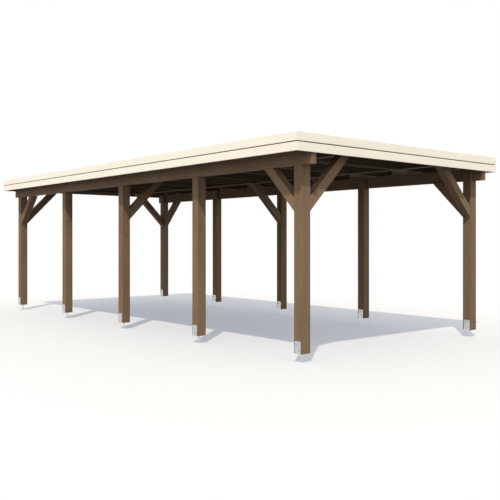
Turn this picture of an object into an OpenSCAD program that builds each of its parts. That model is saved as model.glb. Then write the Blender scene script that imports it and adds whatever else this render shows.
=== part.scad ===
// Open timber carport. Two rows of square posts stand on steel anchors and carry
// two long beams. Roof joists and three ties lie across the beams, and a boarded
// flat roof lies on them, behind a fascia of two grooved boards all round.
// X runs across the roof, Y along it from the front to the rear, and Z up.
// The origin is on the ground under the middle of the roof.

/* [Roof] */
// Width over the fascia
roof_w = 3600; // [3000:20:4400]
// Length over the fascia
roof_l = 7680; // [6200:20:9400]
// From the middle of a row of posts to the outer face of the fascia
side_overhang = 280; // [200:5:400]
// From the middle of an end post to the outer face of the fascia
end_overhang = 216; // [170:2:400]
// Number of evenly spaced roof joists, counting one that a tie takes the place of
joist_count = 10; // [7:1:12]
// Thickness of the roof boards
deck_t = 19; // [15:1:28]
// Gap around the roof boards, for them to swell
deck_gap = 3; // [1:1:8]
// Thickness of the roof covering
covering_t = 2; // [1.5:0.5:4]

/* [Fascia] */
// Height of the two fascia boards together
fascia_h = 190; // [150:2:240]
// Thickness of a fascia board
fascia_t = 20; // [16:1:28]
// Height of the fascia's top above the roof covering
fascia_rise = 24; // [12:1:60]
// Height of the groove between the two boards
groove_h = 11; // [4:1:14]
// Thickness of the tongue that closes the groove at its back
tongue_t = 8; // [5:1:12]

/* [Posts and beams] */
// Side of a post
post_w = 120; // [90:1:150]
// Height of the foot of a post above the ground
foot_gap = 90; // [60:5:150]
// Height of the underside of the long beams above the ground
headroom = 2030; // [1850:5:2600]
// Width of a long beam
beam_w = 70; // [45:1:90]
// Height of a long beam
beam_h = 160; // [120:5:240]
// Width of a joist and of a tie
joist_w = 60; // [40:1:90]
// Height of a joist and of a tie
joist_h = 100; // [70:5:160]

/* [Braces] */
// Side of a brace
brace_w = 100; // [60:1:120]
// Depth of a brace's foot below the underside of the beams
brace_drop = 480; // [350:10:700]

/* [Post anchors] */
// Width of an anchor's side plates
plate_w = 88; // [50:1:110]
// Thickness of an anchor's plates
plate_t = 5; // [3:0.5:8]
// Height of the side plates beside the post
plate_h = 130; // [80:5:200]
// Diameter of an anchor's rod
rod_d = 24; // [16:1:40]

/* [Hidden] */
LEFT = -1;
RIGHT = 1;
SIDES = [LEFT, RIGHT];
SIDE_NAMES = ["left", "right"];
POSTS = [1, 2, 3, 4, 5];
TIED_POSTS = [1, 3, 5];
TIE_NAMES = ["front", "middle", "rear"];
END_TURNS = [90, -90];
END_NAMES = ["front", "rear"];
RUN_NAMES = ["front", "right", "rear", "left"];
RUN_TURNS = [0, 90, 180, -90];
round_fn = 48;

row_x = roof_w / 2 - side_overhang;
end_post_y = roof_l / 2 - end_overhang;
inner_w = roof_w - 2 * fascia_t;
inner_l = roof_l - 2 * fascia_t;
beam_top = headroom + beam_h;
deck_z = beam_top + joist_h;
covering_z = deck_z + deck_t;
fascia_top = covering_z + covering_t + fascia_rise;
board_h = (fascia_h - groove_h) / 2;
lower_board_z = fascia_top - fascia_h;
upper_board_z = fascia_top - board_h;
upstand_h = fascia_rise / 2;
end_joist_y = (inner_l - joist_w) / 2;
joist_step = 2 * end_joist_y / (joist_count - 1);
brace_foot_z = headroom - brace_drop;

function post_y(number) =
    -end_post_y + (number - 1) * 2 * end_post_y / (len(POSTS) - 1);

// A box of the given size, centred in X and Y, with its underside at height z.
module slab(width, length, height, z) {
    translate([-width / 2, -length / 2, z]) cube([width, length, height]);
}

// A post is notched for the long beam, and its inner part runs up beside the beam.
module post(side, number) {
    color("#7f6a4f")
        translate([side * row_x, post_y(number), 0])
            difference() {
                slab(post_w, post_w, beam_top - foot_gap, foot_gap);
                translate([side * post_w / 2, 0, 0])
                    slab(2 * beam_w, 2 * post_w, 2 * beam_h, headroom);
            }
}

// A U of flat plates that holds the foot of a post, on a round rod.
module anchor(side, number) {
    color("#c5c5c7")
        translate([side * row_x, post_y(number), 0]) {
            difference() {
                slab(post_w + 2 * plate_t, plate_w, plate_t + plate_h, foot_gap - plate_t);
                slab(post_w, 2 * plate_w, 2 * plate_h, foot_gap);
            }
            cylinder(h = foot_gap - plate_t, d = rod_d, $fn = round_fn);
        }
}

// A long beam lies in the notches of a row of posts, flush with their outer faces.
module beam(side) {
    color("#6b5640")
        translate([side * (row_x + (post_w - beam_w) / 2), 0, 0])
            slab(beam_w, inner_l, beam_h, headroom);
}

// A square brace at 45 degrees, from a foot at the origin to a seat at height rise.
// It is cut upright at the post and level at its seat, and leans along +X.
module brace(rise) {
    cut = brace_w * sqrt(2);
    rotate([90, 0, 0])
        linear_extrude(brace_w, center = true)
            polygon([[0, 0], [rise, rise], [rise - cut, rise], [0, cut]]);
}

// Braces an end post along its row, up to the long beam.
module long_brace(side, turn) {
    color("#6b5640")
        translate([side * row_x, sign(turn) * (post_w / 2 - end_post_y), brace_foot_z])
            rotate([0, 0, turn]) brace(brace_drop);
}

// Braces a post across the carport, past the long beam and up to a tie.
module cross_brace(side, number) {
    color("#6b5640")
        translate([side * (row_x - post_w / 2), post_y(number), brace_foot_z])
            rotate([0, 0, side == LEFT ? 0 : 180]) brace(brace_drop + beam_h);
}

// A joist or tie across both beams, from one side fascia to the other.
module crossbar(y) {
    color("#5e4c39") translate([0, y, 0]) slab(inner_w, joist_w, joist_h, beam_top);
}

// How far a joist at y lies from the nearest tie.
function off_a_tie(y) = min([for (p = TIED_POSTS) abs(y - post_y(p))]);

// A tie does the work of a joist that would lie on it.
module joists() {
    for (i = [0 : joist_count - 1]) {
        y = i * joist_step - end_joist_y;
        if (off_a_tie(y) > joist_w) crossbar(y);
    }
}

// Section of the lower board, with a tongue at its back that closes the groove.
// The outer face is on X = 0.
function lower_section() = [
    [0, 0], [fascia_t, 0], [fascia_t, board_h + groove_h],
    [fascia_t - tongue_t, board_h + groove_h], [fascia_t - tongue_t, board_h], [0, board_h]
];

function upper_section() = [[0, 0], [fascia_t, 0], [fascia_t, board_h], [0, board_h]];

// A run of fascia board on the side that faces turn, mitred at both ends.
module fascia_board(turn, z, section) {
    across = turn % 180 == 0;
    run = across ? roof_w : roof_l;
    outward = (across ? roof_l : roof_w) / 2;
    color("#f1ead9")
        rotate([0, 0, turn]) translate([0, -outward, z]) intersection() {
            rotate([90, 0, 90]) linear_extrude(run, center = true) polygon(section);
            linear_extrude(fascia_h) polygon([
                [-run / 2, 0], [run / 2, 0],
                [run / 2 - fascia_t, fascia_t], [fascia_t - run / 2, fascia_t]
            ]);
        }
}

module roof_deck() {
    color("#8b7355")
        slab(inner_w - 2 * deck_gap, inner_l - 2 * deck_gap, deck_t, deck_z);
}

// A shallow tray: the covering lies on the deck and turns up against the fascia.
module roof_covering() {
    color("#3c3d3f") difference() {
        slab(inner_w, inner_l, covering_t + upstand_h, covering_z);
        slab(inner_w - 2 * covering_t, inner_l - 2 * covering_t, 2 * upstand_h,
            covering_z + covering_t);
    }
}

for (s = [0, 1]) {
    for (p = POSTS) {
        post(SIDES[s], p);
        anchor(SIDES[s], p);
    }
    beam(SIDES[s]);
    for (e = [0, 1])
        long_brace(SIDES[s], END_TURNS[e]);
    for (t = [0, 1, 2])
        cross_brace(SIDES[s], TIED_POSTS[t]);
}
for (t = [0, 1, 2])
    crossbar(post_y(TIED_POSTS[t]));
joists();
for (r = [0 : 3]) {
    fascia_board(RUN_TURNS[r], lower_board_z, lower_section());
    fascia_board(RUN_TURNS[r], upper_board_z, upper_section());
}
roof_deck();
roof_covering();
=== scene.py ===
"""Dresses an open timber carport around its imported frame.

The posts, beams, braces, ties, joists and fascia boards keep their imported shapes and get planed
edges and a finish. The anchors, screws, angle brackets, laths, roof boards and roofing sheets are
modelled here. Sizes are in metres. X runs across the roof, Y along it to the rear, and Z up.
"""

import logging
import math
import random
from collections.abc import Callable, Iterator, Sequence
from contextlib import contextmanager
from dataclasses import dataclass
from enum import Enum

import bmesh
import bpy
from mathutils import Euler, Matrix, Vector

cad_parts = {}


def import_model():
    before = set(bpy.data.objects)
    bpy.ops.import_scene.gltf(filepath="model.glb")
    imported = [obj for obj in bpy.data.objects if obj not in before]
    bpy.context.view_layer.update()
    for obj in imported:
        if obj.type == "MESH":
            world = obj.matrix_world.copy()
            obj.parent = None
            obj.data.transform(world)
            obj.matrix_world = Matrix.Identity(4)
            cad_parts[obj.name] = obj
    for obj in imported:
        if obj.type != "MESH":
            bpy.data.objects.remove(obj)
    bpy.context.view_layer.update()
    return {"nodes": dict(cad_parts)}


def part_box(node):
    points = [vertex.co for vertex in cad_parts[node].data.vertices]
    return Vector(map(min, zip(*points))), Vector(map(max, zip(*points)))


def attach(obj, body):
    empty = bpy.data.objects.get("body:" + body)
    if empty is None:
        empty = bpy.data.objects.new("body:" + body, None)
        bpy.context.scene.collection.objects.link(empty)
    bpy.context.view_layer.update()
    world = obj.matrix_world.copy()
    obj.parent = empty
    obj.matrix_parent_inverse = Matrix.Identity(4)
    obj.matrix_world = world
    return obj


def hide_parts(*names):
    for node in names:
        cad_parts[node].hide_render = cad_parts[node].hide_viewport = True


Colour = tuple[float, float, float, float]
Pair = tuple[float, float]
Triple = tuple[float, float, float]
Piece = bpy.types.Object
Material = bpy.types.Material
Socket = bpy.types.NodeSocket
Feed = float | Sequence[float] | Socket
Test = Callable[[Vector, Vector], bool]
Adder = Callable[..., set[str]]

BODY = "root"
TINY = 1e-4
log = logging.getLogger("carport")


class Part(Enum):
    """What a selection in edit mode picks."""

    VERTEX = "VERT"
    EDGE = "EDGE"
    FACE = "FACE"


class Place(Enum):
    """A part of the carport, named after where it is."""

    @property
    def word(self) -> str:
        """The place's name, as the frame writes it."""
        return self.name.lower()


class Side(Place):
    """A row of posts, with the sign of its X."""

    LEFT = -1
    RIGHT = 1


class Reach(Place):
    """An end of the carport or its middle, with the sign of its Y."""

    FRONT = -1
    MIDDLE = 0
    REAR = 1


ENDS = (Reach.FRONT, Reach.REAR)
POST_NUMBERS = (1, 2, 3, 4, 5)
UP = Vector((0, 0, 1))
OUTWARD = {
    "front": Vector((0, -1, 0)),
    "right": Vector((1, 0, 0)),
    "rear": Vector((0, 1, 0)),
    "left": Vector((-1, 0, 0)),
}
WHITE = (1, 1, 1, 1)


# ---- modelling


@contextmanager
def editing(piece: Piece) -> Iterator[None]:
    """Opens a piece in edit mode with nothing selected, and closes it again.

    Args:
        piece: The mesh object to edit.
    """
    bpy.context.view_layer.objects.active = piece
    bpy.ops.object.mode_set(mode="EDIT")
    bpy.ops.mesh.select_all(action="DESELECT")
    yield
    bpy.ops.object.mode_set(mode="OBJECT")


def pick(piece: Piece, part: Part, test: Test) -> None:
    """Selects what passes a test, in edit mode, and nothing else.

    Args:
        piece: The object being edited.
        part: Whether vertices, edges or faces are picked.
        test: Takes the middle and the normal, and says whether to pick.
    """
    bpy.ops.mesh.select_all(action="DESELECT")
    bpy.ops.mesh.select_mode(type=part.value)
    shell = bmesh.from_edit_mesh(piece.data)
    if part is Part.FACE:
        found = [face for face in shell.faces if test(face.calc_center_median(), face.normal)]
    elif part is Part.EDGE:
        found = [
            edge
            for edge in shell.edges
            if test((edge.verts[0].co + edge.verts[1].co) / 2, edge.verts[1].co - edge.verts[0].co)
        ]
    else:
        found = [vertex for vertex in shell.verts if test(vertex.co, vertex.normal)]
    for element in found:
        element.select_set(True)
    shell.select_flush_mode()
    bmesh.update_edit_mesh(piece.data)


def bevel(piece: Piece, part: Part, test: Test, width: float, segments: int) -> None:
    """Bevels the corners or edges that pass a test, in edit mode.

    Args:
        piece: The object being edited.
        part: Whether its vertices or its edges are bevelled.
        test: Takes the middle and the normal or run, and says whether to bevel.
        width: How far the bevel reaches.
        segments: How many faces it gets.
    """
    pick(piece, part, test)
    kind = "VERTICES" if part is Part.VERTEX else "EDGES"
    bpy.ops.mesh.bevel(offset=width, segments=segments, affect=kind)


def extrude(piece: Piece, part: Part, test: Test, height: float) -> None:
    """Extrudes the edges or faces that pass a test upward, in edit mode."""
    pick(piece, part, test)
    bpy.ops.mesh.extrude_region_move(TRANSFORM_OT_translate={"value": (0, 0, height)})


def crown(piece: Piece, facing: Vector, rim: float, rise: float) -> None:
    """Insets the face that looks one way and raises it, in edit mode.

    Args:
        piece: The object being edited.
        facing: The way the face looks.
        rim: The width of the slope that is left round it.
        rise: How far it is raised.
    """
    pick(piece, Part.FACE, lambda _, normal: normal.dot(facing) > 0.9)
    bpy.ops.mesh.inset(thickness=rim)
    bpy.ops.transform.translate(value=facing * rise)


def choose(*pieces: Piece) -> None:
    """Selects pieces and nothing else, in object mode.

    Args:
        *pieces: The pieces, of which the first becomes active.
    """
    bpy.ops.object.select_all(action="DESELECT")
    for piece in pieces:
        piece.select_set(True)
    bpy.context.view_layer.objects.active = pieces[0]


def start(name: str, add: Adder, **settings: object) -> Piece:
    """Adds a primitive with nothing else selected, and names it.

    Args:
        name: The new object's name.
        add: The operator that adds the primitive.
        **settings: The operator's settings.

    Returns:
        The new object.
    """
    bpy.ops.object.select_all(action="DESELECT")
    add(**settings)
    piece = bpy.context.object
    piece.name = name
    piece.data.name = name
    return piece


def sized(name: str, add: Adder, size: Sequence[float], middle: Triple = (0, 0, 0)) -> Piece:
    """Adds a primitive stretched to a size.

    Args:
        name: The new object's name.
        add: The operator that adds the primitive.
        size: Its size along X, Y and Z.
        middle: Where its middle goes.

    Returns:
        The new object.
    """
    piece = start(name, add, size=1, location=middle)
    piece.scale = size
    return settle(piece)


def drum(name: str, corners: int, radius: float, depth: float, **place: object) -> Piece:
    """Adds a cylinder with so many corners round its ends, upright or as its place says."""
    add = bpy.ops.mesh.primitive_cylinder_add
    return settle(start(name, add, vertices=corners, radius=radius, depth=depth, **place))


def settle(piece: Piece) -> Piece:
    """Puts an object's place, turn and scale into its mesh.

    Args:
        piece: The object.

    Returns:
        The same object, now at the origin.
    """
    choose(piece)
    bpy.ops.object.transform_apply(location=True, rotation=True, scale=True)
    return piece


def work(piece: Piece, kind: str, **settings: object) -> None:
    """Adds a modifier and applies it.

    Args:
        piece: The piece it works on.
        kind: The modifier's type.
        **settings: The modifier's settings.
    """
    choose(piece)
    modifier = piece.modifiers.new(kind.lower(), kind)
    for key, value in settings.items():
        setattr(modifier, key, value)
    bpy.ops.object.modifier_apply(modifier=modifier.name)


def twin(piece: Piece, name: str, spot: Sequence[float], turn: Matrix | None = None) -> Piece:
    """Copies a piece with its own mesh.

    Args:
        piece: The piece to copy.
        name: The copy's name.
        spot: Where the mesh's own origin goes.
        turn: What turns or stretches the mesh about that origin, if anything does.

    Returns:
        The copy, whose object sits at the origin.
    """
    copy = piece.copy()
    copy.data = piece.data.copy()
    copy.name = name
    copy.data.name = name
    copy.data.transform(Matrix.Translation(spot) @ (turn or Matrix()))
    bpy.context.scene.collection.objects.link(copy)
    return copy


def join(name: str, pieces: Sequence[Piece]) -> Piece:
    """Joins pieces into one object.

    Args:
        name: The joined object's name.
        pieces: The pieces, of which the first takes the others in.

    Returns:
        The joined object.
    """
    choose(*pieces)
    bpy.ops.object.join()
    pieces[0].name = name
    pieces[0].data.name = name
    return pieces[0]


def discard(piece: Piece) -> None:
    """Removes a pattern piece once its copies are made."""
    bpy.data.objects.remove(piece, do_unlink=True)


def smooth(piece: Piece, angle: float = 35) -> None:
    """Shades a piece smooth over edges that turn less than an angle, in degrees."""
    choose(piece)
    bpy.ops.object.shade_smooth_by_angle(angle=math.radians(angle))


def paint(piece: Piece, material: Material) -> None:
    """Gives a whole piece one material.

    Args:
        piece: The piece, with or without slots for materials.
        material: What every slot is given.
    """
    if not piece.data.materials:
        piece.data.materials.append(material)
    for material_slot in piece.material_slots:
        material_slot.material = material


def mount(piece: Piece, material: Material) -> None:
    """Finishes a new piece and sets it on the carport's body.

    Args:
        piece: The new piece.
        material: Its finish.
    """
    paint(piece, material)
    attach(piece, BODY)
    log.info("made %s: %d faces", piece.name, len(piece.data.polygons))


def thicken(piece: Piece, thickness: float) -> None:
    """Makes a surface into a plate, and turns its faces outward.

    Args:
        piece: The surface, which ends up in the plate's middle.
        thickness: The plate's thickness.
    """
    work(piece, "SOLIDIFY", thickness=thickness, offset=0, use_even_offset=True)
    with editing(piece):
        bpy.ops.mesh.select_all(action="SELECT")
        bpy.ops.mesh.normals_make_consistent(inside=False)


def dress(node: Piece, material: Material, width: float) -> None:
    """Gives a packed timber its finish, and rounds its sharp edges as a planer leaves them.

    Args:
        node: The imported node's object, whose mesh stays as it is.
        material: The timber's finish.
        width: The width of the rounded edge.
    """
    paint(node, material)
    weld = node.modifiers.new("weld", "WELD")
    weld.merge_threshold = TINY
    edges = node.modifiers.new("planed edges", "BEVEL")
    edges.width = width
    edges.segments = 2
    edges.limit_method = "ANGLE"
    edges.angle_limit = math.radians(30)
    edges.use_clamp_overlap = True
    log.info("dressed %s", node.name)


# ---- finishes


@dataclass(frozen=True)
class Lie:
    """How a timber lies: its middle, and the turn that brings the X axis along its grain."""

    middle: Triple
    turn: Triple

    @property
    def grain(self) -> Vector:
        """The direction of the grain."""
        return Euler(self.turn).to_matrix() @ Vector((1, 0, 0))


ALONG_X = (0.0, 0.0, 0.0)
ALONG_Y = (0.0, 0.0, math.pi / 2)
ALONG_Z = (0.0, -math.pi / 2, 0.0)


class Graph:
    """A node tree, with short calls that add and join its nodes."""

    def __init__(self, owner: Material | bpy.types.World) -> None:
        """Empties a node tree.

        Args:
            owner: The material, or the world, that the tree belongs to.
        """
        owner.use_nodes = True
        self.tree = owner.node_tree
        self.tree.nodes.clear()

    def feed(self, socket: Socket, value: Feed) -> None:
        """Feeds a socket.

        Args:
            socket: The socket.
            value: Another socket to link it to, or the value that it's set to.
        """
        if isinstance(value, Socket):
            self.tree.links.new(value, socket)
        else:
            socket.default_value = value

    def node(self, kind: str, *values: Feed, **settings: object) -> bpy.types.Node:
        """Adds a node.

        Args:
            kind: The node's type.
            *values: What feeds its inputs, in order.
            **settings: The node's own settings.

        Returns:
            The new node.
        """
        node = self.tree.nodes.new(kind)
        for key, value in settings.items():
            setattr(node, key, value)
        for socket, value in zip(node.inputs, values, strict=False):
            self.feed(socket, value)
        return node

    def rays(self, *kinds: str) -> list[Socket]:
        """Whether a ray is of each of the given kinds, such as Is Camera Ray."""
        path = self.node("ShaderNodeLightPath")
        return [path.outputs[kind] for kind in kinds]

    def fork(self, share: Feed, first: Feed, second: Feed) -> Socket:
        """Mixes two shaders and returns the result."""
        return self.node("ShaderNodeMixShader", share, first, second).outputs[0]

    def math(self, operation: str, *values: Feed) -> Socket:
        """Adds a Math node and returns its result."""
        return self.node("ShaderNodeMath", *values, operation=operation).outputs[0]

    def add(self, first: Feed, *others: Feed) -> Socket:
        """Adds numbers up.

        Args:
            first: The first number.
            *others: The numbers added to it.

        Returns:
            The sum.
        """
        for other in others:
            first = self.math("ADD", first, other)
        return first

    def times(self, first: Feed, second: Feed) -> Socket:
        """Multiplies two numbers."""
        return self.math("MULTIPLY", first, second)

    def vector(self, operation: str, *values: Feed) -> Socket:
        """Adds a Vector Math node and returns its vector, or its number for a length or a dot."""
        node = self.node("ShaderNodeVectorMath", *values, operation=operation)
        return node.outputs["Value" if operation in ("LENGTH", "DOT_PRODUCT") else "Vector"]

    def where(self) -> Socket:
        """The place on the object."""
        return self.node("ShaderNodeTexCoord").outputs["Object"]

    def place(self, lie: Lie) -> Socket:
        """The place on a timber, with X along its grain and zero in its middle."""
        values = (self.where(), lie.middle, lie.turn)
        return self.node("ShaderNodeMapping", *values, vector_type="TEXTURE").outputs["Vector"]

    def cells(self, where: Feed, scale: float) -> bpy.types.Node:
        """Adds a pattern of cells.

        Args:
            where: The place it is read at.
            scale: How many cells fit in a metre.

        Returns:
            The node, with a colour and a distance for each cell.
        """
        node = self.node("ShaderNodeTexVoronoi")
        self.feed(node.inputs["Vector"], where)
        node.inputs["Scale"].default_value = scale
        return node

    def red(self, colour: Feed) -> Socket:
        """The red share of a colour, for use as a number."""
        return self.node("ShaderNodeSeparateColor", colour).outputs["Red"]

    def noise(
        self, where: Feed, stretch: Sequence[float], detail: float = 2, output: str = "Fac"
    ) -> Socket:
        """Adds a noise.

        Args:
            where: The place it is read at.
            stretch: How many of its lumps fit in a metre, along each axis.
            detail: How many finer layers it has.
            output: Fac for a number or Color for three.

        Returns:
            The noise, about 0.5.
        """
        node = self.node("ShaderNodeTexNoise")
        self.feed(node.inputs["Vector"], self.vector("MULTIPLY", where, stretch))
        node.inputs["Scale"].default_value = 1
        node.inputs["Detail"].default_value = detail
        return node.outputs[output]

    def rescale(
        self, value: Feed, low: float, high: float, to_low: float = 0, to_high: float = 1
    ) -> Socket:
        """Carries a value smoothly from one range to another, and holds it at both ends.

        Args:
            value: The value.
            low: Where the first range begins.
            high: Where the first range stops.
            to_low: What the value becomes at low.
            to_high: What the value becomes at high.

        Returns:
            The result.
        """
        node = self.node("ShaderNodeMapRange", interpolation_type="SMOOTHSTEP")
        for socket, number in zip(node.inputs, (value, low, high, to_low, to_high), strict=False):
            self.feed(socket, number)
        return node.outputs[0]

    def spread(self, noise: Feed, low: float, high: float) -> Socket:
        """Carries a noise, which mostly lies between 0.3 and 0.7, to another range."""
        return self.rescale(noise, 0.3, 0.7, low, high)

    def mix(self, share: Feed, first: Feed, second: Feed, kind: str = "MIX") -> Socket:
        """Mixes two colours.

        Args:
            share: How much of the second shows.
            first: The first colour.
            second: The second colour.
            kind: The way they are mixed.

        Returns:
            The mixed colour.
        """
        node = self.node("ShaderNodeMix", data_type="RGBA", blend_type=kind)
        for name, value in (("Factor_Float", share), ("A_Color", first), ("B_Color", second)):
            socket = next(s for s in node.inputs if s.identifier == name)
            self.feed(socket, value)
        return next(s for s in node.outputs if s.identifier == "Result_Color")

    def bump(self, height: Feed, depth: float, over: Feed | None = None) -> Socket:
        """Turns a height into a normal.

        Args:
            height: The height, from 0 to 1.
            depth: How deep that is, in metres.
            over: A normal that this one lies over.

        Returns:
            The normal.
        """
        node = self.node("ShaderNodeBump")
        node.inputs["Distance"].default_value = depth
        self.feed(node.inputs["Height"], height)
        if over is not None:
            self.feed(node.inputs["Normal"], over)
        return node.outputs[0]


class Finish(Graph):
    """The node tree of a material with one principled shader."""

    def __init__(self, name: str) -> None:
        """Starts a material whose tree holds a shader and an output.

        Args:
            name: The material's name.
        """
        self.material = bpy.data.materials.new(name)
        super().__init__(self.material)
        self.shader = self.node("ShaderNodeBsdfPrincipled")
        self.output = self.node("ShaderNodeOutputMaterial", self.shader.outputs["BSDF"])

    def set(self, **values: Feed) -> None:
        """Feeds the shader's inputs, named with _ for a space."""
        for key, value in values.items():
            self.feed(self.shader.inputs[key.replace("_", " ")], value)


@dataclass(frozen=True)
class StainedTimber:
    """Planed softwood under a brown stain, with growth rings, fibres and knots."""

    pale: Colour
    deep: Colour
    knot: Colour = (0.060, 0.036, 0.019, 1)
    ring_gap: float = 0.0048
    knot_share: float = 0.93
    roughness: float = 0.7
    gloss: float = 0.12
    tones: Pair = (0.93, 1.07)
    row_tones: Pair = (0.9, 1.08)
    board_tones: Pair = (0.86, 1.12)
    row_pith: Triple = (0.0, 0.035, -0.05)
    board_pith: Triple = (0.0, 0.02, -0.11)
    end_tone: float = 0.86
    relief: float = 0.0005

    def make(self, name: str, lie: Lie, seed: int) -> Material:
        """Makes the finish of one timber.

        Args:
            name: The material's name.
            lie: How the timber lies.
            seed: Sets where its pith runs, and its tone.

        Returns:
            The material.
        """
        chance = random.Random(seed)
        graph = Finish(name)
        local = graph.place(lie)
        grown = graph.vector("ADD", local, (chance.uniform(0, 40), 0, 0))
        tone = chance.uniform(*self.tones)
        aside = chance.uniform(-0.09, 0.09)
        pith = (0.0, aside, chance.choice((-1, 1)) * chance.uniform(0.02, 0.08))
        self.stain(graph, grown, pith, tone, lie.grain)
        return graph.material

    def make_row(self, name: str, lie: Lie, step: float) -> Material:
        """Makes the finish of a row of like timbers in one mesh, each with its own grain.

        Args:
            name: The material's name.
            lie: How the first of them lies.
            step: The distance from one to the next, across the grain.

        Returns:
            The material.
        """
        graph = Finish(name)
        local = graph.place(lie)
        across = graph.node("ShaderNodeSeparateXYZ", local).outputs["Y"]
        number = graph.math("ROUND", graph.math("DIVIDE", across, step))
        chance = graph.node("ShaderNodeTexWhiteNoise", noise_dimensions="1D")
        graph.feed(chance.inputs["W"], number)
        aside = graph.times(number, -step)
        shift = graph.node("ShaderNodeCombineXYZ", graph.times(number, 7.3), aside)
        grown = graph.vector("ADD", local, shift.outputs[0])
        tone = graph.rescale(chance.outputs["Value"], 0, 1, *self.row_tones)
        self.stain(graph, grown, self.row_pith, tone, lie.grain)
        return graph.material

    def make_boards(self, name: str, lie: Lie) -> Material:
        """Makes the finish of boards in one mesh, whose faces carry their board's own number.

        Args:
            name: The material's name.
            lie: How the boards lie.

        Returns:
            The material.
        """
        graph = Finish(name)
        local = graph.place(lie)
        board = graph.node("ShaderNodeAttribute", attribute_name="board").outputs["Fac"]
        deep = graph.times(board, 0.4)
        shift = graph.node("ShaderNodeCombineXYZ", graph.times(board, 61.0), 0.0, deep)
        grown = graph.vector("ADD", local, shift.outputs[0])
        tone = graph.rescale(board, 0, 1, *self.board_tones)
        self.stain(graph, grown, self.board_pith, tone, lie.grain)
        return graph.material

    def stain(
        self, graph: Finish, grown: Feed, pith: Sequence[float], tone: Feed, grain: Vector
    ) -> None:
        """Draws the wood and its stain.

        Args:
            graph: The material's graph.
            grown: The place in the wood, with X along the grain.
            pith: A point on the line that the rings go round.
            tone: Darkens or lightens the whole timber.
            grain: The direction of the grain in the frame, which its ends face.
        """
        wander = graph.noise(grown, (0.9, 4, 4), output="Color")
        wander = graph.vector("SUBTRACT", wander, (0.5, 0.5, 0.5))
        bent = graph.vector("ADD", grown, graph.vector("MULTIPLY", wander, (0, 0.03, 0.03)))
        knots = graph.cells(graph.vector("MULTIPLY", bent, (5, 11, 11)), 1)
        chosen = graph.math("GREATER_THAN", graph.red(knots.outputs["Color"]), self.knot_share)
        near = graph.times(graph.rescale(knots.outputs["Distance"], 0.42, 0.1), chosen)
        knot = graph.times(graph.rescale(knots.outputs["Distance"], 0.15, 0.1), chosen)

        spoke = graph.vector("MULTIPLY", graph.vector("SUBTRACT", bent, pith), (0, 1, 1))
        years = graph.math("DIVIDE", graph.vector("LENGTH", spoke), self.ring_gap)
        years = graph.add(years, graph.times(near, 3.0))
        ring = graph.math("SINE", graph.times(years, math.tau))
        ring = graph.math("POWER", graph.rescale(ring, -1, 1), 2.0)
        fibre = graph.noise(grown, (7, 420, 420), 3)
        streak = graph.noise(grown, (1.1, 26, 26), 3)
        cloud = graph.noise(grown, (1.6, 3, 3))

        depth = graph.add(
            graph.times(ring, 0.42),
            graph.spread(fibre, -0.12, 0.22),
            graph.spread(streak, -0.08, 0.34),
            graph.spread(cloud, -0.05, 0.2),
        )
        depth = graph.node("ShaderNodeClamp", depth).outputs[0]
        colour = graph.mix(depth, self.pale, self.deep)
        colour = graph.mix(graph.times(knot, 0.55), colour, self.knot)
        facing = graph.node("ShaderNodeTexCoord").outputs["Normal"]
        facing = graph.math("ABSOLUTE", graph.vector("DOT_PRODUCT", facing, tuple(grain)))
        end = graph.rescale(facing, 0.55, 0.68)
        dark = graph.times(tone, graph.rescale(end, 0, 1, 1.0, self.end_tone))
        shade = graph.node("ShaderNodeCombineColor", dark, dark, dark).outputs[0]
        colour = graph.mix(1.0, colour, shade, "MULTIPLY")

        relief = graph.add(graph.times(ring, 0.5), graph.times(fibre, 0.8))
        worn = graph.spread(fibre, self.roughness - 0.08, self.roughness + 0.1)
        graph.set(Base_Color=colour, Roughness=worn, Normal=graph.bump(relief, self.relief))
        graph.shader.inputs["Specular IOR Level"].default_value = self.gloss


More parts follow.
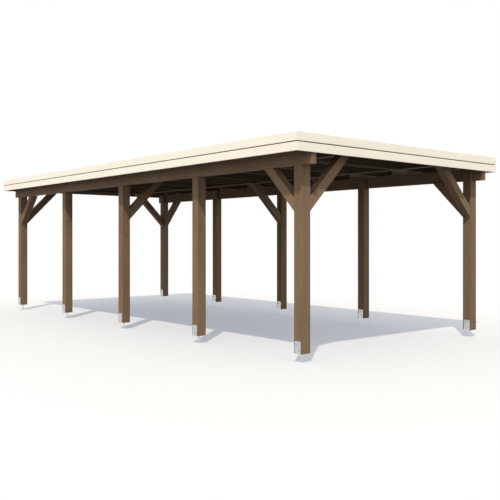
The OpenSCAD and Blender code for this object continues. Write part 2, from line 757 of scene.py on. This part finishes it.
@dataclass(frozen=True)
class OpaquePaint:
    """Opaque paint brushed along a planed board, through which the grain just shows."""

    colour: Colour
    thin: Colour
    # The near-black colour painted into the groove between the boards, as painted shade.
    groove_shade: Colour
    # The dark colour of a board's back face, painted shade for the strip under the roof.
    back: Colour
    roughness: float = 0.48
    tones: Pair = (0.96, 1.0)
    relief: float = 0.0004

    def make(
        self,
        name: str,
        lie: Lie,
        seed: int,
        groove: Pair | None = None,
        back: tuple[Vector, float] | None = None,
    ) -> Material:
        """Makes the paint of one board.

        Args:
            name: The material's name.
            lie: How the board lies.
            seed: Sets its tone and where its grain runs.
            groove: The heights between which the lower board is coloured near black, as painted
                shade in the groove.
            back: The way its outer face looks, and how far out its back face lies that way; the
                back face is coloured dark as painted shade.

        Returns:
            The material.
        """
        chance = random.Random(seed)
        graph = Finish(name)
        shift = (chance.uniform(0, 30), chance.uniform(0, 9), 0)
        local = graph.vector("ADD", graph.place(lie), shift)
        tone = chance.uniform(*self.tones)
        brush = graph.noise(local, (3, 700, 700))
        grain = graph.noise(local, (1.4, 60, 60), 4)
        cloud = graph.noise(local, (0.8, 5, 5))
        thinned = graph.add(graph.rescale(grain, 0.35, 0.7, 0, 0.6), graph.spread(cloud, 0, 0.4))
        thinned = graph.node("ShaderNodeClamp", thinned).outputs[0]
        colour = graph.mix(thinned, self.colour, self.thin)
        colour = graph.mix(1.0, colour, (tone, tone, tone, 1), "MULTIPLY")
        where = graph.where()
        # Painted shade: the board's back face is coloured dark, as it looks in the shade under the
        # roof.
        if back is not None:
            outward, limit = back
            depth = graph.vector("DOT_PRODUCT", where, tuple(outward))
            colour = graph.mix(graph.math("LESS_THAN", depth, limit), colour, self.back)
        # Painted shade: the lower board is coloured near black across the groove, as the groove
        # looks in shade.
        if groove is not None:
            height = graph.node("ShaderNodeSeparateXYZ", where).outputs["Z"]
            over = graph.math("GREATER_THAN", height, groove[0])
            inside = graph.times(over, graph.math("LESS_THAN", height, groove[1]))
            colour = graph.mix(inside, colour, self.groove_shade)
        relief = graph.add(graph.times(brush, 0.5), graph.times(grain, 0.6))
        rough = graph.spread(brush, self.roughness - 0.05, self.roughness + 0.08)
        graph.set(Base_Color=colour, Roughness=rough, Normal=graph.bump(relief, self.relief))
        return graph.material


@dataclass(frozen=True)
class Galvanised:
    """Dull zinc-coated steel with a spangle."""

    colour: Colour
    dull: Colour
    spangle: float = 75
    roughness: float = 0.45
    relief: float = 0.0002

    def make(self, name: str) -> Material:
        """Makes the finish.

        Args:
            name: The material's name.

        Returns:
            The material.
        """
        graph = Finish(name)
        where = graph.where()
        flake = graph.red(graph.cells(where, self.spangle).outputs["Color"])
        cloud = graph.noise(where, (9, 9, 9), 3)
        grey = graph.add(graph.times(flake, 0.45), graph.spread(cloud, 0, 0.55))
        pits = graph.noise(where, (900, 900, 900))
        graph.set(
            Base_Color=graph.mix(grey, self.colour, self.dull),
            Roughness=graph.rescale(grey, 0, 1, self.roughness - 0.07, self.roughness + 0.12),
            Normal=graph.bump(pits, self.relief),
        )
        graph.shader.inputs["Metallic"].default_value = 1.0
        return graph.material


@dataclass(frozen=True)
class MineralFelt:
    """Dark roofing felt strewn with mineral grains."""

    colour: Colour
    grain: Colour
    grains: float = 420
    roughness: Pair = (0.82, 0.95)
    relief: float = 0.0006

    def make(self, name: str) -> Material:
        """Makes the finish.

        Args:
            name: The material's name.

        Returns:
            The material.
        """
        graph = Finish(name)
        where = graph.where()
        grains = graph.cells(where, self.grains)
        grey = graph.red(grains.outputs["Color"])
        cloud = graph.noise(where, (1.3, 1.3, 1.3), 4)
        share = graph.add(graph.times(grey, 0.6), graph.spread(cloud, 0, 0.4))
        height = graph.rescale(grains.outputs["Distance"], 0.6, 0.1)
        graph.set(
            Base_Color=graph.mix(share, self.colour, self.grain),
            Roughness=graph.spread(cloud, *self.roughness),
            Normal=graph.bump(height, self.relief),
        )
        return graph.material


POST_STAIN = StainedTimber(pale=(0.219, 0.141, 0.081, 1), deep=(0.148, 0.093, 0.052, 1))
BEAM_STAIN = StainedTimber(pale=(0.232, 0.150, 0.088, 1), deep=(0.155, 0.098, 0.057, 1))
# Stained timber, but far darker than the posts' stain: the extra darkness is painted shade for the
# joists and ties under the roof.
SHADED_JOIST_STAIN = StainedTimber(
    pale=(0.112, 0.078, 0.051, 1), deep=(0.074, 0.052, 0.034, 1), roughness=0.8, gloss=0.05
)
BARE_WOOD = StainedTimber(pale=(0.34, 0.29, 0.225, 1), deep=(0.26, 0.215, 0.16, 1), gloss=0.05)
BOARD_STAIN = StainedTimber(
    pale=(0.145, 0.112, 0.082, 1), deep=(0.094, 0.071, 0.051, 1), roughness=0.8, gloss=0.05
)
CREAM = OpaquePaint(
    colour=(0.882, 0.796, 0.666, 1),
    thin=(0.853, 0.757, 0.622, 1),
    # Painted shade for the groove between the two boards.
    groove_shade=(0.022, 0.017, 0.013, 1),
    # Painted shade for the back faces of the front and rear boards.
    back=(0.074, 0.052, 0.034, 1),
)
ZINC = Galvanised(colour=(0.62, 0.62, 0.625, 1), dull=(0.555, 0.56, 0.57, 1), roughness=0.3)
SCREW_ZINC = Galvanised(
    colour=(0.56, 0.56, 0.565, 1), dull=(0.48, 0.485, 0.495, 1), spangle=300, roughness=0.6
)
FIXING = Galvanised(
    colour=(0.20, 0.165, 0.12, 1), dull=(0.12, 0.10, 0.075, 1), spangle=400, roughness=0.5
)
FELT = MineralFelt(colour=(0.030, 0.031, 0.033, 1), grain=(0.105, 0.108, 0.112, 1))


# ---- the timbers


def middle_of(node: str) -> Triple:
    """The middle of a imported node's box."""
    low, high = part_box(node)
    return tuple((low + high) / 2)


def braces(side: Side) -> Iterator[tuple[str, Vector, int]]:
    """The braces of a row.

    Args:
        side: The row of posts.

    Yields:
        Each one's node, the level direction that it rises in and a number of its own.
    """
    for end in ENDS:
        yield f"long_brace_{side.word}_{end.word}", Vector((0, -end.value, 0)), 3 * end.value
    for end in Reach:
        name = f"cross_brace_{side.word}_{end.word}"
        yield name, Vector((-side.value, 0, 0)), 3 * end.value + 10


@dataclass
class TimberFrame:
    """Posts, beams, braces, ties and joists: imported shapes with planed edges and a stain."""

    nodes: dict[str, Piece]
    post_edge: float = 0.004
    brace_edge: float = 0.003
    joist_edge: float = 0.002
    joist_count: int = 10
    joist_width: float = 0.06
    # Picks each post's tone, which differs as timber does; this seed makes posts further from the
    # front left corner darker, as painted shade for light fading away.
    post_seed: int = 10013
    beam_seed: int = 518
    brace_seed: int = 3033
    tie_seed: int = 50

    def joists(self) -> list[float]:
        """Works out where the joists lie.

        Returns:
            The Y of each joist.
        """
        low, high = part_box("joists")
        step = (high.y - low.y - self.joist_width) / (self.joist_count - 1)
        first = low.y + self.joist_width / 2
        return [first + number * step for number in range(self.joist_count)]

    def ties(self) -> list[float]:
        """The Y of each tie."""
        return [middle_of(f"tie_{end.word}")[1] for end in Reach]

    def dress(self, name: str, stain: StainedTimber, turn: Triple, seed: int, edge: float) -> None:
        """Gives one packed timber its own stain, with its grain by a turn, and planed edges."""
        lie = Lie(middle_of(name), turn)
        dress(self.nodes[name], stain.make(f"{name} stain", lie, seed), edge)

    def dress_posts(self) -> None:
        """Finishes the ten posts."""
        for side in Side:
            for number in POST_NUMBERS:
                # The seed gives random timber tones, and darker ones further from the front left
                # corner as painted shade.
                seed = self.post_seed + 10 * number + side.value
                self.dress(f"post_{side.word}_{number}", POST_STAIN, ALONG_Z, seed, self.post_edge)

    def dress_beams(self) -> None:
        """Finishes the two long beams."""
        for side in Side:
            seed = self.beam_seed + side.value
            self.dress(f"beam_{side.word}", BEAM_STAIN, ALONG_Y, seed, self.brace_edge)

    def dress_braces(self) -> None:
        """Finishes the braces along the rows and across the carport."""
        for side in Side:
            for name, lean, number in braces(side):
                turn = (0, -math.pi / 4, math.atan2(lean.y, lean.x))
                seed = self.brace_seed + number + side.value
                self.dress(name, BEAM_STAIN, turn, seed, self.brace_edge)

    def dress_crossbars(self, joists: Sequence[float]) -> None:
        """Finishes the ties and the row of joists.

        Args:
            joists: The Y of each joist.
        """
        # The ties and joists take the darkened stain, which carries painted shade.
        for end in Reach:
            seed = self.tie_seed + end.value
            self.dress(f"tie_{end.word}", SHADED_JOIST_STAIN, ALONG_X, seed, self.joist_edge)
        middle = middle_of("joists")
        lie = Lie((middle[0], joists[0], middle[2]), ALONG_X)
        stain = SHADED_JOIST_STAIN.make_row("joists stain", lie, joists[1] - joists[0])
        dress(self.nodes["joists"], stain, self.joist_edge)


# ---- steel


@dataclass(frozen=True)
class ScrewHead:
    """The low domed head of a wood screw, with a six-lobed socket."""

    radius: float = 0.005
    rise: float = 0.0008
    corners: int = 12

    def model(self, name: str) -> Piece:
        """Models one head that faces up from the origin.

        Args:
            name: The pattern's name.

        Returns:
            The pattern.
        """
        head = drum(name, self.corners, self.radius, self.rise)
        with editing(head):
            crown(head, UP, self.radius * 0.2, self.rise * 0.4)
            bpy.ops.mesh.inset(thickness=self.radius * 0.3)
            pick(head, Part.VERTEX, self.in_lobe)
            bpy.ops.transform.resize(value=(0.72, 0.72, 1), center_override=(0, 0, 0))
            extrude(head, Part.FACE, self.in_socket, -self.rise)
        smooth(head)
        return head

    def in_lobe(self, place: Vector, _: Vector) -> bool:
        """Whether a corner of the socket is one of the six that are drawn in."""
        turn = round(math.degrees(math.atan2(place.y, place.x)) * self.corners / 360)
        return math.hypot(place.x, place.y) < self.radius * 0.6 and place.z > 0 and turn % 2 == 0

    def in_socket(self, middle: Vector, facing: Vector) -> bool:
        """Whether a face is the one in the middle, which the socket is sunk from."""
        return facing.z > 0.9 and middle.length < self.rise * 2


def set_head(pattern: Piece, spot: Vector, facing: Vector) -> Piece:
    """Copies a head that faces up from the origin to a spot on a face, and returns the copy."""
    turn = facing.to_track_quat("Z", "X").to_matrix().to_4x4()
    return twin(pattern, "head", spot, turn)


@dataclass
class Anchors:
    """Bent steel anchors on round rods, and the coach screws that hold the posts in them."""

    sheet: float = 0.005
    bend: float = 0.0055
    corner: float = 0.012
    worn_edge: float = 0.0007
    rod_radius: float = 0.012
    rod_edge: float = 0.0015
    weld_radius: float = 0.0035
    weld_bumps: float = 0.0005
    washer_radius: float = 0.011
    washer_rise: float = 0.0016
    washer_rim: float = 0.0006
    head_radius: float = 0.0095
    head_rise: float = 0.0065
    head_rim: float = 0.0014
    head_clear: float = 0.002
    screws: tuple[Pair, ...] = ((0.018, 0.040), (-0.018, 0.095))

    def build(self) -> None:
        """Makes the ten anchors and their screws."""
        steel = ZINC.make("galvanised steel")
        plated = SCREW_ZINC.make("galvanised screws")
        bracket = self.model_bracket()
        screw = self.model_screw()
        for side in Side:
            for number in POST_NUMBERS:
                mark = f"{side.word}_{number}"
                low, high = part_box(f"post_{mark}")
                foot = Vector(((low.x + high.x) / 2, (low.y + high.y) / 2, 0))
                anchor = twin(bracket, f"post_anchor_{mark}", foot)
                mount(anchor, steel)
                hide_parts(f"anchor_{mark}")
                screws = join(f"coach_screws_{mark}", self.set_screws(screw, foot, low.z))
                mount(screws, plated)
        discard(bracket)
        discard(screw)

    def model_bracket(self) -> Piece:
        """Models one anchor on the axis of its post.

        Returns:
            The pattern: a U of bent plate, a rod and the weld between them.
        """
        low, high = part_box("anchor_left_1")
        size = high - low
        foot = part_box("post_left_1")[0].z
        base = foot - self.sheet / 2
        side, bottom = (size.x - self.sheet) / 2 - TINY, base + TINY
        add, across = bpy.ops.mesh.primitive_plane_add, (size.x - self.sheet, size.y, 1)
        plate = sized("bracket", add, across, (0, 0, base))
        with editing(plate):
            extrude(plate, Part.EDGE, lambda at, _: abs(at.x) > side, high.z - base)
            bevel(plate, Part.VERTEX, lambda at, _: at.z > high.z - TINY, self.corner, 4)
            bevel(plate, Part.EDGE, lambda at, _: abs(at.x) > side and at.z < bottom, self.bend, 4)
        thicken(plate, self.sheet)
        work(
            plate,
            "BEVEL",
            width=self.worn_edge,
            segments=2,
            limit_method="ANGLE",
            angle_limit=math.radians(50),
        )
        depth = foot - self.sheet
        rod = drum("rod", 32, self.rod_radius, depth, location=(0, 0, depth / 2))
        with editing(rod):
            bevel(rod, Part.EDGE, lambda middle, _: middle.z < TINY, self.rod_edge, 2)
        weld = start(
            "weld",
            bpy.ops.mesh.primitive_torus_add,
            major_segments=36,
            minor_segments=8,
            major_radius=self.rod_radius + 0.001,
            minor_radius=self.weld_radius,
            location=(0, 0, depth - self.weld_radius / 2),
        )
        settle(weld)
        with editing(weld):
            bpy.ops.mesh.select_all(action="SELECT")
            bpy.ops.transform.vertex_random(offset=self.weld_bumps, seed=7)
        anchor = join("anchor", [plate, rod, weld])
        smooth(anchor)
        return anchor

    def model_screw(self) -> Piece:
        """Models a coach screw's head and washer, facing +X from the origin.

        Returns:
            The pattern.
        """
        turn, outward = (0, math.pi / 2, 0), OUTWARD["right"]
        discs = []
        for name, corners, radius, rise, clear, rim in (
            ("washer", 24, self.washer_radius, self.washer_rise, 0, self.washer_rim),
            ("head", 6, self.head_radius, self.head_rise, self.head_clear, self.head_rim),
        ):
            spot = (clear + rise / 2, 0, 0)
            disc = drum(name, corners, radius, rise, location=spot, rotation=turn)
            with editing(disc):
                crown(disc, outward, rim, rim * 0.6)
            discs.append(disc)
        screw = join("coach screw", discs)
        smooth(screw)
        return screw

    def set_screws(self, pattern: Piece, foot: Vector, base: float) -> list[Piece]:
        """Copies the coach screw to both plates of one anchor.

        Args:
            pattern: The coach screw.
            foot: The foot of the post, on the ground.
            base: The height of the post's lower end.

        Returns:
            The copies.
        """
        low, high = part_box("anchor_left_1")
        reach = (high.x - low.x) / 2
        copies = []
        for side in Side:
            turn = Matrix.Rotation(0 if side is Side.RIGHT else math.pi, 4, "Z")
            for aside, height in self.screws:
                spot = foot + Vector((side.value * reach, side.value * aside, base + height))
                copies.append(twin(pattern, "coach screw copy", spot, turn))
        return copies


@dataclass
class BraceScrews:
    """Pairs of brown wood screws at both ends of every brace."""

    radius: float = 0.0055
    from_tip: float = 0.055
    half_gap: float = 0.025

    def build(self) -> None:
        """Makes the screws of all ten braces, a piece for each row."""
        bronze = FIXING.make("brown screws")
        pattern = ScrewHead(self.radius).model("brace screw")
        for side in Side:
            heads: list[Piece] = []
            for name, lean, _ in braces(side):
                heads += self.set_pairs(pattern, name, lean)
            mount(join(f"brace_screws_{side.word}", heads), bronze)
        discard(pattern)

    def set_pairs(self, pattern: Piece, brace: str, lean: Vector) -> list[Piece]:
        """Copies the screw to the lower face of one brace.

        Args:
            pattern: The screw head.
            brace: The brace's node.
            lean: The level direction that the brace rises in.

        Returns:
            The copies.
        """
        low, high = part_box(brace)
        rise = high.z - low.z
        foot = (low + high) / 2 - (lean + UP) * rise / 2
        slope = (lean + UP).normalized()
        facing = (lean - UP).normalized()
        across = lean.cross(UP)
        return [
            set_head(pattern, foot + slope * reach + across * aside, facing)
            for reach in (self.from_tip, rise * math.sqrt(2) - self.from_tip)
            for aside in (-self.half_gap, self.half_gap)
        ]


@dataclass
class AngleBrackets:
    """Nailed angle brackets in the corners between the beams and what lies across them."""

    width: float = 0.055
    leg: float = 0.07
    sheet: float = 0.0025
    bend: float = 0.004
    corner: float = 0.006
    nail_radius: float = 0.0035
    nail_rise: float = 0.0012
    nail_aside: float = 0.0165
    nail_reaches: Pair = (0.0294, 0.056)

    def build(self, crossbars: Sequence[float], half_width: float) -> None:
        """Makes a row of brackets on each beam.

        Args:
            crossbars: The Y of each joist and tie.
            half_width: Half the width of a joist or tie.
        """
        steel = ZINC.make("galvanised bracket")
        pattern = self.model()
        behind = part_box("tie_rear")[0].y
        for side in Side:
            low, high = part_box(f"beam_{side.word}")
            copies = []
            for y in crossbars:
                facing = -1 if y > behind else 1
                spot = Vector(((low.x + high.x) / 2, y + facing * half_width, high.z))
                turn = Matrix.Rotation(0 if facing == 1 else math.pi, 4, "Z")
                copies.append(twin(pattern, "bracket copy", spot, turn))
            mount(join(f"angle_brackets_{side.word}", copies), steel)
        discard(pattern)

    def model(self) -> Piece:
        """Models one bracket, whose legs run along +Y and up from the origin.

        Returns:
            The pattern, with its nails.
        """
        lift = self.sheet / 2
        rise, tip = self.leg - lift, self.leg - TINY
        add, middle = bpy.ops.mesh.primitive_plane_add, (0, (self.leg + lift) / 2, lift)
        plate = sized("angle", add, (self.width, rise, 1), middle)
        with editing(plate):
            extrude(plate, Part.EDGE, lambda at, _: at.y < lift + TINY, rise)
            bevel(plate, Part.VERTEX, lambda at, _: max(at.y, at.z) > tip, self.corner, 2)
            bevel(plate, Part.EDGE, lambda at, _: max(at.y, at.z) < lift + TINY, self.bend, 3)
        thicken(plate, self.sheet)
        nail = drum("nail", 8, self.nail_radius, self.nail_rise)
        with editing(nail):
            crown(nail, UP, self.nail_rise, self.nail_rise / 2)
        nails = []
        for aside in (-self.nail_aside, self.nail_aside):
            for along in self.nail_reaches:
                nails.append(set_head(nail, Vector((aside, along, self.sheet)), UP))
                nails.append(set_head(nail, Vector((aside, self.sheet, along)), OUTWARD["rear"]))
        discard(nail)
        bracket = join("bracket", [plate, *nails])
        smooth(bracket)
        return bracket


# ---- the roof


@dataclass
class Fascia:
    """The two cream boards all round the roof, and the screws that hold them."""

    nodes: dict[str, Piece]
    edge: float = 0.002
    thickness: float = 0.02
    groove_height: float = 0.011
    board_seed: int = 3938
    screw_radius: float = 0.004
    screw_inset: float = 0.023
    side_screw_seed: int = 5
    end_screw_seed: int = 6
    end_screw_count: int = 6
    end_screw_gap: float = 0.6

    def dress(self) -> None:
        """Paints the eight packed boards, with painted shade on the backs of the front and rear
        ones.
        """
        for course in ("lower", "upper"):
            for number, (run, outward) in enumerate(OUTWARD.items()):
                name = f"fascia_{course}_{run}"
                # Painted shade on the back faces of the front and rear boards only.
                back = (outward, self.reach(run) - self.thickness + self.edge / 2)
                lie = Lie(middle_of(name), ALONG_X if outward.y else ALONG_Y)
                seed = self.board_seed + number + (4 if course == "upper" else 0)
                # Only the lower board carries the painted shade of the groove.
                groove = self.groove() if course == "lower" else None
                cream = CREAM.make(f"{name} paint", lie, seed, groove, back if outward.y else None)
                dress(self.nodes[name], cream, self.edge)

    def reach(self, run: str) -> float:
        """How far out the outer face of a run of boards lies."""
        return max(OUTWARD[run].dot(corner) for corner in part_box(f"fascia_upper_{run}"))

    def groove(self) -> Pair:
        """The heights of the groove's lower and upper sides."""
        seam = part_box("fascia_upper_front")[0].z
        return seam - self.groove_height + self.edge / 4, seam + self.edge

    def build_screws(self, crossbars: Sequence[float]) -> None:
        """Makes the painted heads of the screws that hold the boards to joists and ties.

        Args:
            crossbars: The Y of each joist and tie.
        """
        low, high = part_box("joists")
        courses = (low.z + self.screw_inset, high.z - self.screw_inset)
        middle = (self.end_screw_count - 1) / 2
        across = [(number - middle) * self.end_screw_gap for number in range(self.end_screw_count)]
        pattern = ScrewHead(self.screw_radius).model("fascia screw")
        for run in ("left", "right", "front", "rear"):
            outward = OUTWARD[run]
            if outward.y:
                places, turn, seed = across, ALONG_X, self.end_screw_seed
            else:
                places, turn, seed = crossbars, ALONG_Y, self.side_screw_seed
            face = outward * self.reach(run)
            along = Vector((abs(outward.y), abs(outward.x), 0))
            spots = [face + along * place + UP * z for place in places for z in courses]
            heads = [set_head(pattern, spot, outward) for spot in spots]
            cream = CREAM.make(f"screw paint {run}", Lie((0, 0, 0), turn), seed)
            mount(join(f"fascia_screws_{run}", heads), cream)
        discard(pattern)


@dataclass
class RoofBoards:
    """Grooved boards laid from front to rear over the joists, butted end to end on a joist."""

    rows: int = 29
    seams: tuple[int, ...] = (3, 6, 4, 7, 2, 5)
    seed: int = 12
    chamfer: float = 0.003
    gap: float = 0.0005

    def build(self, joists: Sequence[float]) -> None:
        """Makes the boards.

        Args:
            joists: The Y of each joist, on which boards may meet.
        """
        low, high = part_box("roof_deck")
        pitch = (high.x - low.x) / self.rows
        pattern = self.model(pitch, high.z - low.z)
        chance = random.Random(self.seed)
        boards = []
        for row in range(self.rows):
            across = low.x + (row + 0.5) * pitch
            seam = joists[self.seams[row % len(self.seams)]]
            for begin, stop in ((low.y, seam), (seam, high.y)):
                spot = (across, (begin + stop) / 2, (low.z + high.z) / 2)
                length = Matrix.Diagonal((1, stop - begin - self.gap, 1, 1))
                board = twin(pattern, "board", spot, length)
                number = board.data.attributes.new("board", "FLOAT", "FACE")
                value = chance.random()
                for face in number.data:
                    face.value = value
                boards.append(board)
        discard(pattern)
        deck = join("roof_boards", boards)
        lie = Lie((0, 0, (low.z + high.z) / 2), ALONG_Y)
        mount(deck, BOARD_STAIN.make_boards("roof board stain", lie))
        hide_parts("roof_deck")

    def model(self, pitch: float, thickness: float) -> Piece:
        """Models a board a metre long, with both edges below chamfered.

        Args:
            pitch: The distance from one row to the next.
            thickness: How thick a board is.

        Returns:
            The pattern.
        """
        side, low = (pitch - self.gap) / 2 - TINY, TINY - thickness / 2
        size = (pitch - self.gap, 1, thickness)
        board = sized("board", bpy.ops.mesh.primitive_cube_add, size)
        with editing(board):
            bevel(board, Part.EDGE, lambda at, _: abs(at.x) > side and at.z < low, self.chamfer, 1)
        return board


@dataclass
class Laths:
    """Thin laths of unstained wood under the joists, from one tie to the next."""

    aside: float = 0.88
    width: float = 0.04
    thickness: float = 0.007
    edge: float = 0.002
    clear: float = 0.055
    seed: int = 40

    def build(self) -> None:
        """Makes the four laths."""
        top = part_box("joists")[0].z
        size = (self.width, 1, self.thickness)
        pattern = sized("lath", bpy.ops.mesh.primitive_cube_add, size)
        with editing(pattern):
            bevel(pattern, Part.EDGE, lambda at, _: at.z < -TINY and abs(at.x) > TINY, self.edge, 2)
        for side in Side:
            for begin, stop in ((Reach.FRONT, Reach.MIDDLE), (Reach.MIDDLE, Reach.REAR)):
                name = f"lath_{side.word}_{begin.word if begin is Reach.FRONT else stop.word}"
                low = middle_of(f"tie_{begin.word}")[1] + self.clear
                high = middle_of(f"tie_{stop.word}")[1] - self.clear
                middle = (side.value * self.aside, (low + high) / 2, top - self.thickness / 2)
                length = Matrix.Diagonal((1, high - low, 1, 1))
                lath = twin(pattern, name, middle, length)
                seed = self.seed + side.value + 3 * stop.value
                wood = BARE_WOOD.make(f"{name} wood", Lie(middle, ALONG_Y), seed)
                mount(lath, wood)
        discard(pattern)


@dataclass
class RoofSheets:
    """Roofing felt in sheets across the roof, each lapped over the one before and turned up."""

    count: int = 8
    lap: float = 0.09
    sheet: float = 0.0018
    ripple: float = 0.0022
    ripple_size: float = 0.35
    columns: int = 48
    rows: int = 14
    clear: float = 0.0005

    def build(self) -> None:
        """Makes the sheets."""
        low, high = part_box("roof_covering")
        pitch = (high.y - low.y) / self.count
        sheets = []
        for number in range(self.count):
            begin = low.y + number * pitch + self.clear
            stop = min(begin + pitch + self.lap, high.y - self.clear)
            sheets.append(self.model(number, begin, stop))
        felt = join("roof_sheets", sheets)
        mount(felt, FELT.make("roofing felt"))
        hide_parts("roof_covering")

    def model(self, number: int, begin: float, stop: float) -> Piece:
        """Models one sheet.

        Args:
            number: Its place in the row, counted from 0 at the front.
            begin: The Y of its front edge.
            stop: The Y of its rear edge.

        Returns:
            The sheet, lapped, rippled and turned up along the fascia.
        """
        low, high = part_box("roof_covering")
        first, last = number == 0, number == self.count - 1
        half = (high.x - low.x) / 2 - self.clear
        sheet = start(
            "sheet",
            bpy.ops.mesh.primitive_grid_add,
            x_subdivisions=self.columns,
            y_subdivisions=self.rows,
            size=2,
        )
        sheet.scale = (half, (stop - begin) / 2, 1)
        sheet.location = (0, (begin + stop) / 2, low.z)
        settle(sheet)
        clouds = bpy.data.textures.new(f"ripples {number}", "CLOUDS")
        clouds.noise_scale = self.ripple_size
        work(
            sheet,
            "DISPLACE",
            texture=clouds,
            texture_coords="LOCAL",
            direction="Z",
            mid_level=0,
            strength=self.ripple,
        )
        with editing(sheet):
            if not first:
                pick(sheet, Part.VERTEX, lambda place, _: place.y < begin + self.lap)
                bpy.ops.transform.translate(value=(0, 0, self.sheet + self.ripple / 2))
            edges = [lambda at: abs(at.x) > half - TINY]
            if first:
                edges.append(lambda at: at.y < begin + TINY)
            if last:
                edges.append(lambda at: at.y > stop - TINY)
            upturn = high.z - low.z - self.sheet - self.ripple
            below = low.z + 2 * self.lap
            for at_edge in edges:
                extrude(sheet, Part.EDGE, lambda at, _: at_edge(at) and at.z < below, upturn)
        work(sheet, "SOLIDIFY", thickness=self.sheet, offset=1, use_even_offset=True)
        smooth(sheet, 40)
        return sheet


# ---- the studio


@dataclass
class Studio:
    """Floor, light and camera. None of it belongs to the carport."""

    sun_from: Triple = (-0.549, -0.465, 1.0)
    sun_strength: float = 3.15
    sun_colour: Triple = (1.0, 0.965, 0.91)
    sun_width: float = 1.6
    sky_colour: Colour = (0.93, 0.965, 1.0, 1)
    sky_strength: float = 1.12
    eye: Triple = (-6.656, -8.916, 1.263)
    heading: float = 39.96
    lens: float = 51.28
    rise: float = -0.0206
    floor_size: float = 160
    floor_colour: Colour = (0.413, 0.396, 0.345, 1)
    floor_bounce: Colour = (0.165, 0.165, 0.17, 1)
    floor_glow: Colour = (0.75, 0.81, 1.0, 1)
    floor_lift: float = 0.339
    floor_fade: Pair = (1.6, 3.6)
    roof_corner: Triple = (1.8, 3.84, 0)

    def build(self) -> None:
        """Adds the floor, the sky, the sun and the camera."""
        self.lay_floor()
        self.light()
        self.set_camera()

    def lay_floor(self) -> None:
        """Lays a pale floor that fades to white away from the carport and is white in mirrors."""
        floor = start("floor", bpy.ops.mesh.primitive_plane_add, size=self.floor_size)
        graph = Finish("pale floor")
        beyond = graph.vector("ABSOLUTE", graph.where())
        beyond = graph.vector("SUBTRACT", beyond, self.roof_corner)
        beyond = graph.vector("LENGTH", graph.vector("MAXIMUM", beyond, (0, 0, 0)))
        fade = graph.rescale(beyond, *self.floor_fade)
        camera, glossy = graph.rays("Is Camera Ray", "Is Glossy Ray")
        graph.set(
            Base_Color=graph.mix(camera, self.floor_bounce, self.floor_colour),
            Roughness=1.0,
            Emission_Color=self.floor_glow,
            Emission_Strength=graph.times(camera, self.floor_lift),
        )
        graph.shader.inputs["Specular IOR Level"].default_value = 0.0
        white = graph.node("ShaderNodeEmission", WHITE, 1.0).outputs[0]
        plain = graph.math("MAXIMUM", graph.times(camera, fade), glossy)
        blend = graph.fork(plain, graph.shader.outputs[0], white)
        graph.feed(graph.output.inputs["Surface"], blend)
        paint(floor, graph.material)

    def light(self) -> None:
        """Lights the carport with a pale sky, which shows as white, and a soft-edged sun."""
        world = bpy.data.worlds.new("studio sky")
        bpy.context.scene.world = world
        graph = Graph(world)
        sky = graph.node("ShaderNodeBackground", self.sky_colour, self.sky_strength).outputs[0]
        white = graph.node("ShaderNodeBackground", WHITE, 1.0).outputs[0]
        rays = graph.rays("Is Camera Ray", "Is Glossy Ray", "Is Transmission Ray")
        plain = graph.math("MAXIMUM", graph.math("MAXIMUM", rays[0], rays[1]), rays[2])
        graph.node("ShaderNodeOutputWorld", graph.fork(plain, sky, white))
        lamp = bpy.data.lights.new("sun", "SUN")
        lamp.energy = self.sun_strength
        lamp.color = self.sun_colour
        lamp.angle = math.radians(self.sun_width)
        sun = bpy.data.objects.new("sun", lamp)
        sun.rotation_euler = Vector(self.sun_from).to_track_quat("Z", "Y").to_euler()
        bpy.context.scene.collection.objects.link(sun)

    def set_camera(self) -> None:
        """Sets a level camera at eye height, off the front left corner."""
        lens = bpy.data.cameras.new("camera")
        lens.lens = self.lens
        lens.sensor_width = 36
        lens.shift_y = self.rise
        camera = bpy.data.objects.new("camera", lens)
        camera.location = self.eye
        camera.rotation_euler = (math.pi / 2, 0, -math.radians(self.heading))
        bpy.context.scene.collection.objects.link(camera)
        bpy.context.scene.camera = camera
        bpy.context.scene.view_settings.view_transform = "Standard"


def main() -> None:
    """Builds the sub-assemblies in order."""
    logging.basicConfig(level=logging.INFO, format="%(name)s: %(message)s")
    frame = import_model()
    nodes = frame["nodes"]
    timbers = TimberFrame(nodes)
    joists = timbers.joists()
    crossbars = sorted(joists + timbers.ties())
    timbers.dress_posts()
    timbers.dress_beams()
    timbers.dress_braces()
    timbers.dress_crossbars(joists)
    Anchors().build()
    BraceScrews().build()
    AngleBrackets().build(crossbars, timbers.joist_width / 2)
    fascia = Fascia(nodes)
    fascia.dress()
    fascia.build_screws(crossbars)
    Laths().build()
    RoofBoards().build(joists)
    RoofSheets().build()
    Studio().build()


if __name__ == "__main__":
    main()
